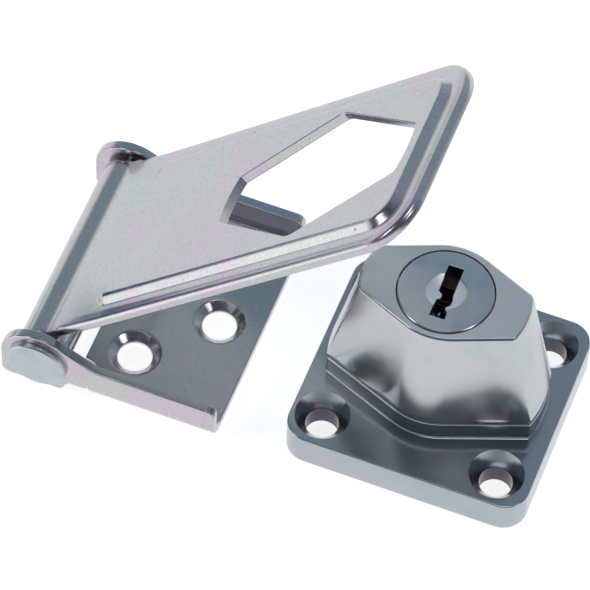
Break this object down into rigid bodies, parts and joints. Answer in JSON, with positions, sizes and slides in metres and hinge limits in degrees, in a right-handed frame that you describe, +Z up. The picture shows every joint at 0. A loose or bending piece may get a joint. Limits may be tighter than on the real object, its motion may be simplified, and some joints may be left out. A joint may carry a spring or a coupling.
{
  "type": "keyed locking hasp",
  "caption": "Hinged steel hasp strap with a six-sided slot, closed over a cast key lock whose tapering head turns a quarter turn to trap it.",
  "frame": {"origin": "centre of the hinge plate's base, on the mounting surface", "axes": "+X from the hinge pin towards the lock, +Y along the hinge pin, +Z up from the mounting surface"},
  "size_m": [0.0852, 0.0422, 0.0675],
  "materials": {
    "plated_steel": "zinc plated",
    "rivet_steel": "zinc plated",
    "plated_zinc": "satin plated casting",
    "plug_zinc": "satin plated casting",
    "brass": "plain",
    "spring_steel": "plain"
  },
  "bodies": {
    "mounted": {"hinge_plate": "plated_steel", "hinge_pin": "rivet_steel", "lock_base": "plated_zinc", "lock_barrel": "brass", "thrust_washer": "rivet_steel"},
    "strap": {"strap": "plated_steel"},
    "head": {"lock_head": "plated_zinc", "lock_plug": "plug_zinc", "drive_pin": "rivet_steel", "cam_plate": "rivet_steel", "retaining_screw": "rivet_steel", "wafer_spring_1": "spring_steel", "wafer_spring_2": "spring_steel", "wafer_spring_3": "spring_steel", "wafer_spring_4": "spring_steel", "wafer_spring_5": "spring_steel"},
    "wafer_1": {"wafer_1": "brass"},
    "wafer_2": {"wafer_2": "brass"},
    "wafer_3": {"wafer_3": "brass"},
    "wafer_4": {"wafer_4": "brass"},
    "wafer_5": {"wafer_5": "brass"}
  },
  "joints": [
    {"name": "strap_hinge", "type": "hinge", "parent": "mounted", "child": "strap", "pos_m": [-0.0174, 0, 0.0059], "axis": [0, -1, 0], "range_deg": [-46, 134]},
    {"name": "head_turn", "type": "hinge", "parent": "mounted", "child": "head", "pos_m": [0.0415, 0, 0], "axis": [0, 0, 1], "range_deg": [0, 90]},
    {"name": "wafer_1_slide", "type": "slide", "parent": "head", "child": "wafer_1", "axis": [0, 1, 0], "range_m": [0, 0.0008]},
    {"name": "wafer_2_slide", "type": "slide", "parent": "head", "child": "wafer_2", "axis": [0, 1, 0], "range_m": [0, 0.0008]},
    {"name": "wafer_3_slide", "type": "slide", "parent": "head", "child": "wafer_3", "axis": [0, 1, 0], "range_m": [0, 0.0008]},
    {"name": "wafer_4_slide", "type": "slide", "parent": "head", "child": "wafer_4", "axis": [0, 1, 0], "range_m": [0, 0.0008]},
    {"name": "wafer_5_slide", "type": "slide", "parent": "head", "child": "wafer_5", "axis": [0, 1, 0], "range_m": [0, 0.0008]}
  ],
  "couplings": [
    {"joint": "wafer_2_slide", "follows": "wafer_1_slide", "ratio": 1},
    {"joint": "wafer_3_slide", "follows": "wafer_1_slide", "ratio": 1},
    {"joint": "wafer_4_slide", "follows": "wafer_1_slide", "ratio": 1},
    {"joint": "wafer_5_slide", "follows": "wafer_1_slide", "ratio": 1}
  ]
}
